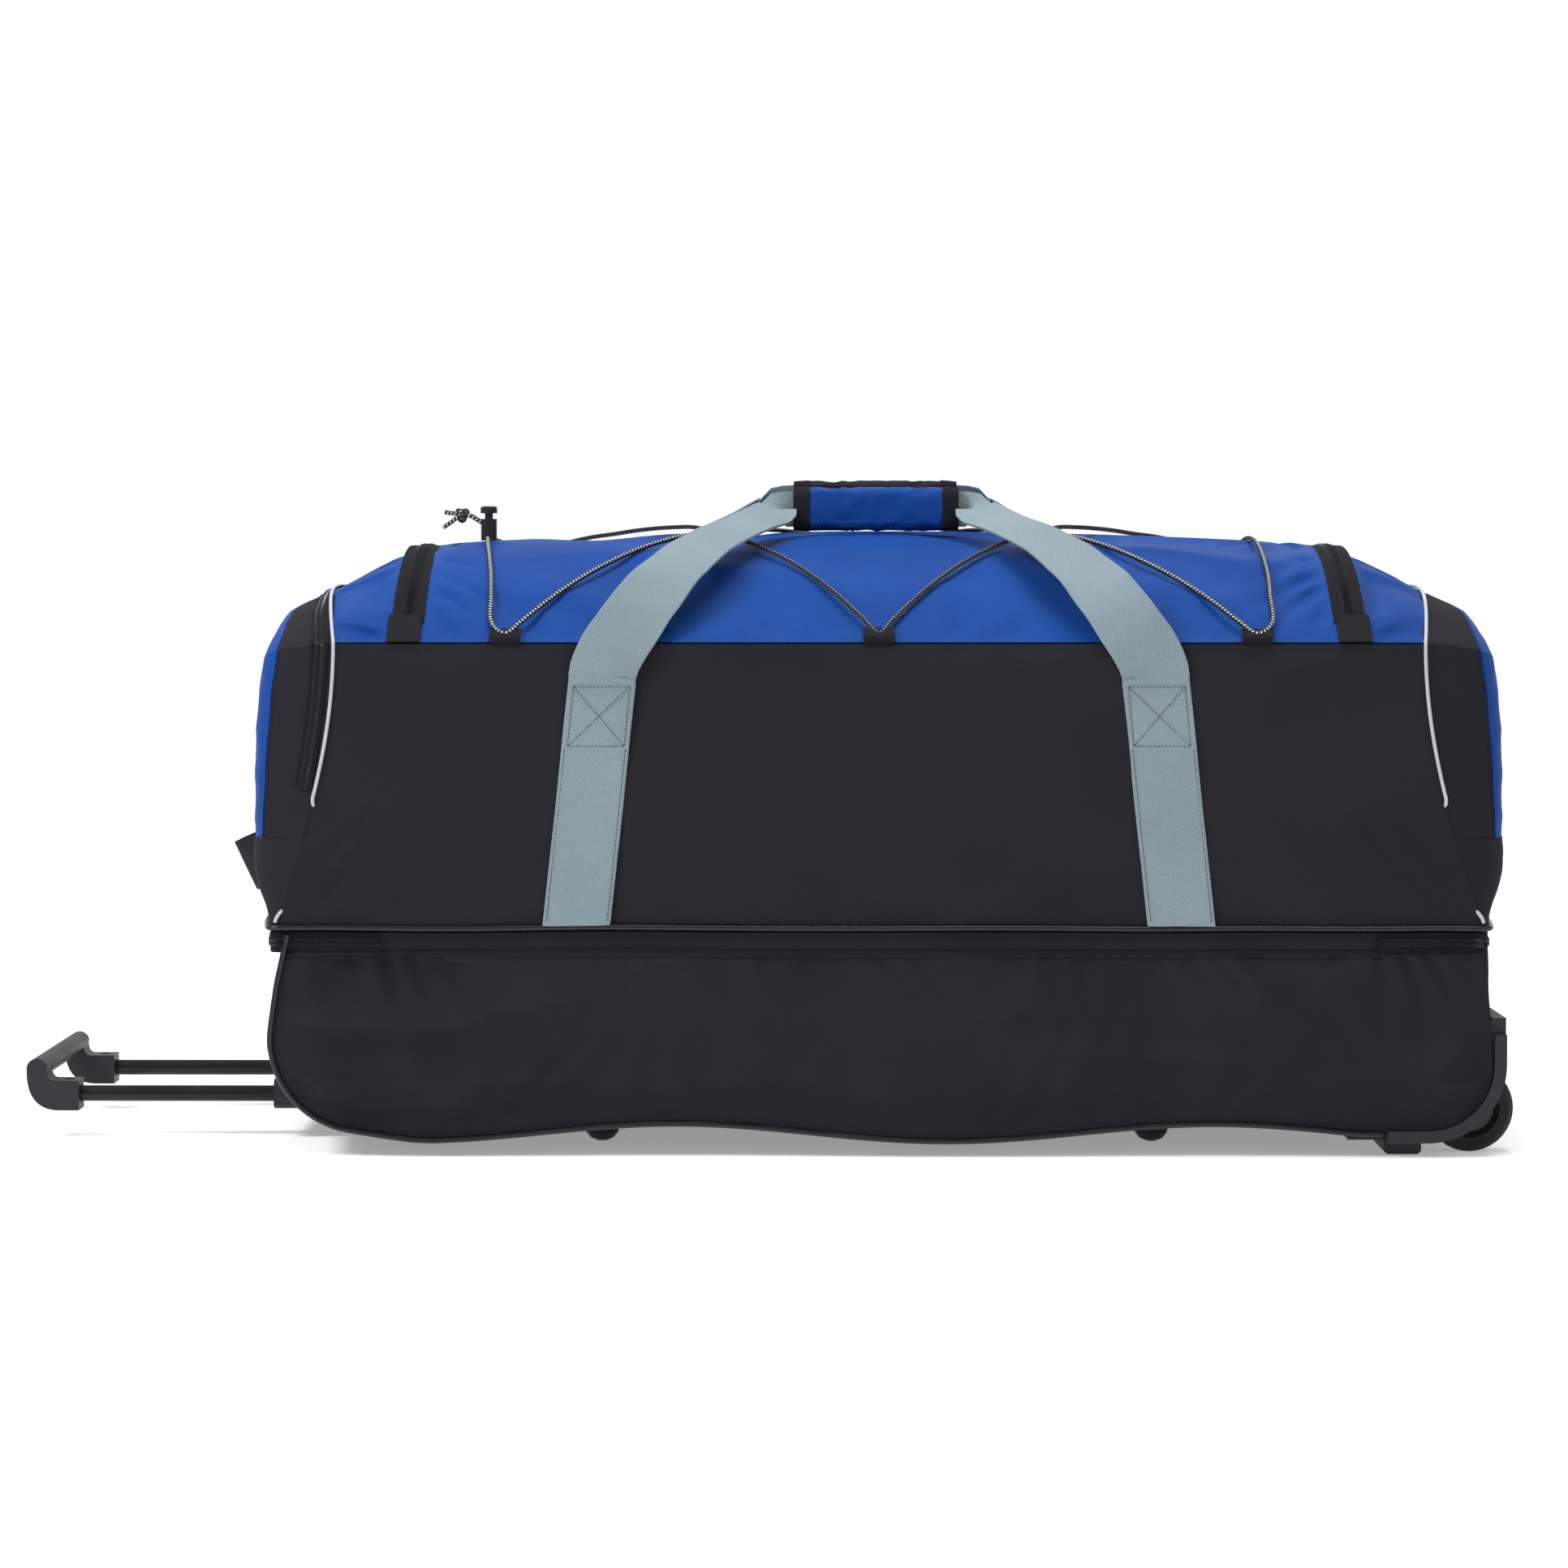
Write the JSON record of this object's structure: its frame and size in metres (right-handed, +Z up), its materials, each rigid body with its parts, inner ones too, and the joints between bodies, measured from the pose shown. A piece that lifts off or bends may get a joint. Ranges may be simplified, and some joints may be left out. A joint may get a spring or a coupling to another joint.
{
  "type": "rolling duffel bag",
  "caption": "Drop-bottom rolling duffel bag with a lift-up lid, bungee lacing, carry straps, end pockets, a sliding trolley handle and corner wheels.",
  "frame": {"origin": "middle of the bounding box's base, on the floor the feet and wheels stand on", "axes": "+X along the bag towards the wheels, +Y towards the rear, +Z up; the bag is looked at along +Y"},
  "size_m": [1.13, 0.3906, 0.506],
  "materials": {
    "black_fabric": "matt coated twill",
    "blue_fabric": "satin coated ballistic weave",
    "grey_webbing": "matt woven webbing",
    "black_webbing": "matt woven webbing",
    "piping": "gloss",
    "black_plastic": "fine moulded grain",
    "foot_plastic": "satin",
    "wheel_rubber": "matt",
    "axle_steel": "brushed",
    "slider_metal": "satin paint",
    "tube_paint": "black anodised",
    "tube_aluminium": "mill",
    "board": "matt",
    "bungee": "braided"
  },
  "bodies": {
    "base": {"lower_front_panel": "black_fabric", "lower_rear_panel": "black_fabric", "lower_front_piping": "piping", "lower_rear_piping": "piping", "foot_front_left": "foot_plastic", "foot_front_right": "foot_plastic", "foot_rear_left": "foot_plastic", "foot_rear_right": "foot_plastic", "lower_gusset": "black_fabric", "base_board": "board", "wheel_housing_front": "black_plastic", "wheel_housing_rear": "black_plastic", "axle_front": "axle_steel", "axle_rear": "axle_steel", "trolley_outer_tube_front": "tube_aluminium", "trolley_outer_tube_rear": "tube_aluminium", "trolley_exit_bezel": "black_plastic"},
    "trolley": {"trolley_inner_tube_front": "tube_paint", "trolley_inner_tube_rear": "tube_paint", "trolley_grip_arm_front": "black_plastic", "trolley_grip_arm_rear": "black_plastic", "trolley_grip_bar": "black_plastic"},
    "wheel_front": {"wheel_tyre_front": "wheel_rubber", "wheel_hub_front": "black_plastic"},
    "wheel_rear": {"wheel_tyre_rear": "wheel_rubber", "wheel_hub_rear": "black_plastic"},
    "upper": {"upper_front_panel": "black_fabric", "upper_rear_panel": "black_fabric", "sewn_strap_front_left": "grey_webbing", "sewn_strap_front_right": "grey_webbing", "sewn_strap_rear_left": "grey_webbing", "sewn_strap_rear_right": "grey_webbing", "upper_left_end_panel": "black_fabric", "upper_right_end_panel": "black_fabric", "left_pocket_band": "black_fabric", "right_pocket_band": "black_fabric", "roof_left_strip": "blue_fabric", "roof_right_strip": "blue_fabric", "roof_rear_strip": "blue_fabric", "waist_piping": "piping", "divider_floor": "board", "right_pocket": "blue_fabric"},
    "lid": {"lid_panel": "blue_fabric", "bungee_cord": "bungee", "cord_lock_barrel": "black_plastic"},
    "cord_lock_plunger": {"cord_lock_plunger": "black_plastic"},
    "front_handle": {"carry_strap_front": "grey_webbing", "carry_grip_front": "blue_fabric"},
    "rear_handle": {"carry_strap_rear": "grey_webbing", "carry_grip_rear": "black_webbing"},
    "left_pocket": {"left_pocket": "blue_fabric"},
    "grab_handle": {"grab_handle": "black_webbing"},
    "lid_zip_left": {"lid_zip_left_slider": "slider_metal"},
    "lid_zip_left_tab": {"lid_zip_left_pull": "black_webbing"},
    "lid_zip_right": {"lid_zip_right_slider": "slider_metal"},
    "lid_zip_right_tab": {"lid_zip_right_pull": "black_webbing"},
    "lower_zip_left": {"lower_zip_left_slider": "slider_metal"},
    "lower_zip_left_tab": {"lower_zip_left_pull": "black_webbing"},
    "lower_zip_right": {"lower_zip_right_slider": "slider_metal"},
    "lower_zip_right_tab": {"lower_zip_right_pull": "black_webbing"}
  },
  "joints": [
    {"name": "trolley_slide", "type": "slide", "parent": "base", "child": "trolley", "axis": [-1, 0, 0], "range_m": [-0.135, 0]},
    {"name": "wheel_front_spin", "type": "hinge", "parent": "base", "child": "wheel_front", "pos_m": [0.532, -0.15135, 0.033], "axis": [0, 1, 0], "continuous": true},
    {"name": "wheel_rear_spin", "type": "hinge", "parent": "base", "child": "wheel_rear", "pos_m": [0.532, 0.14865, 0.033], "axis": [0, 1, 0], "continuous": true},
    {"name": "drop_bottom_hinge", "type": "hinge", "parent": "base", "child": "upper", "pos_m": [0.088, -0.19735, 0.1686], "axis": [1, 0, 0], "range_deg": [0, 60]},
    {"name": "lid_hinge", "type": "hinge", "parent": "upper", "child": "lid", "pos_m": [0.088, -0.18585, 0.382], "axis": [1, 0, 0], "range_deg": [0, 80]},
    {"name": "front_handle_swing", "type": "hinge", "parent": "upper", "child": "front_handle", "pos_m": [0.088, -0.18925, 0.352], "axis": [1, 0, 0], "range_deg": [0, 160]},
    {"name": "rear_handle_swing", "type": "hinge", "parent": "upper", "child": "rear_handle", "pos_m": [0.088, 0.18655, 0.352], "axis": [-1, 0, 0], "range_deg": [0, 160]},
    {"name": "left_pocket_hinge", "type": "hinge", "parent": "upper", "child": "left_pocket", "pos_m": [-0.3854, -0.00135, 0.2358], "axis": [0, -1, 0], "range_deg": [0, 50]},
    {"name": "grab_handle_flap", "type": "hinge", "parent": "upper", "child": "grab_handle", "pos_m": [-0.3865, -0.00135, 0.191], "axis": [0, -1, 0], "range_deg": [0, 25]},
    {"name": "cord_lock_press", "type": "slide", "parent": "lid", "child": "cord_lock_plunger", "axis": [0, 0, -1], "range_m": [0, 0.004], "stiffness_N_per_m": 400},
    {"name": "lid_zip_left_slide", "type": "slide", "parent": "upper", "child": "lid_zip_left", "axis": [-0.9998, 0, -0.0207], "range_m": [0, 0.3]},
    {"name": "lid_zip_right_slide", "type": "slide", "parent": "upper", "child": "lid_zip_right", "axis": [0.9998, 0, -0.0207], "range_m": [0, 0.3]},
    {"name": "lower_zip_left_slide", "type": "slide", "parent": "base", "child": "lower_zip_left", "axis": [-1, 0, 0], "range_m": [0, 0.4]},
    {"name": "lower_zip_right_slide", "type": "slide", "parent": "base", "child": "lower_zip_right", "axis": [1, 0, 0], "range_m": [0, 0.4]},
    {"name": "lid_zip_left_tab_swing", "type": "hinge", "parent": "lid_zip_left", "child": "lid_zip_left_tab", "pos_m": [0.073, 0.10142, 0.45051], "axis": [0, 0.917, -0.399], "range_deg": [0, 150]},
    {"name": "lid_zip_right_tab_swing", "type": "hinge", "parent": "lid_zip_right", "child": "lid_zip_right_tab", "pos_m": [0.103, 0.10142, 0.45051], "axis": [0, -0.917, 0.399], "range_deg": [0, 150]},
    {"name": "lower_zip_left_tab_swing", "type": "hinge", "parent": "lower_zip_left", "child": "lower_zip_left_tab", "pos_m": [0.075, 0.1935, 0.16], "axis": [0, 0, -1], "range_deg": [0, 150]},
    {"name": "lower_zip_right_tab_swing", "type": "hinge", "parent": "lower_zip_right", "child": "lower_zip_right_tab", "pos_m": [0.101, 0.1935, 0.16], "axis": [0, 0, 1], "range_deg": [0, 150]}
  ],
  "couplings": [
    {"joint": "front_handle_swing", "follows": "lid_hinge", "ratio": 2},
    {"joint": "rear_handle_swing", "follows": "lid_hinge", "ratio": 2}
  ]
}
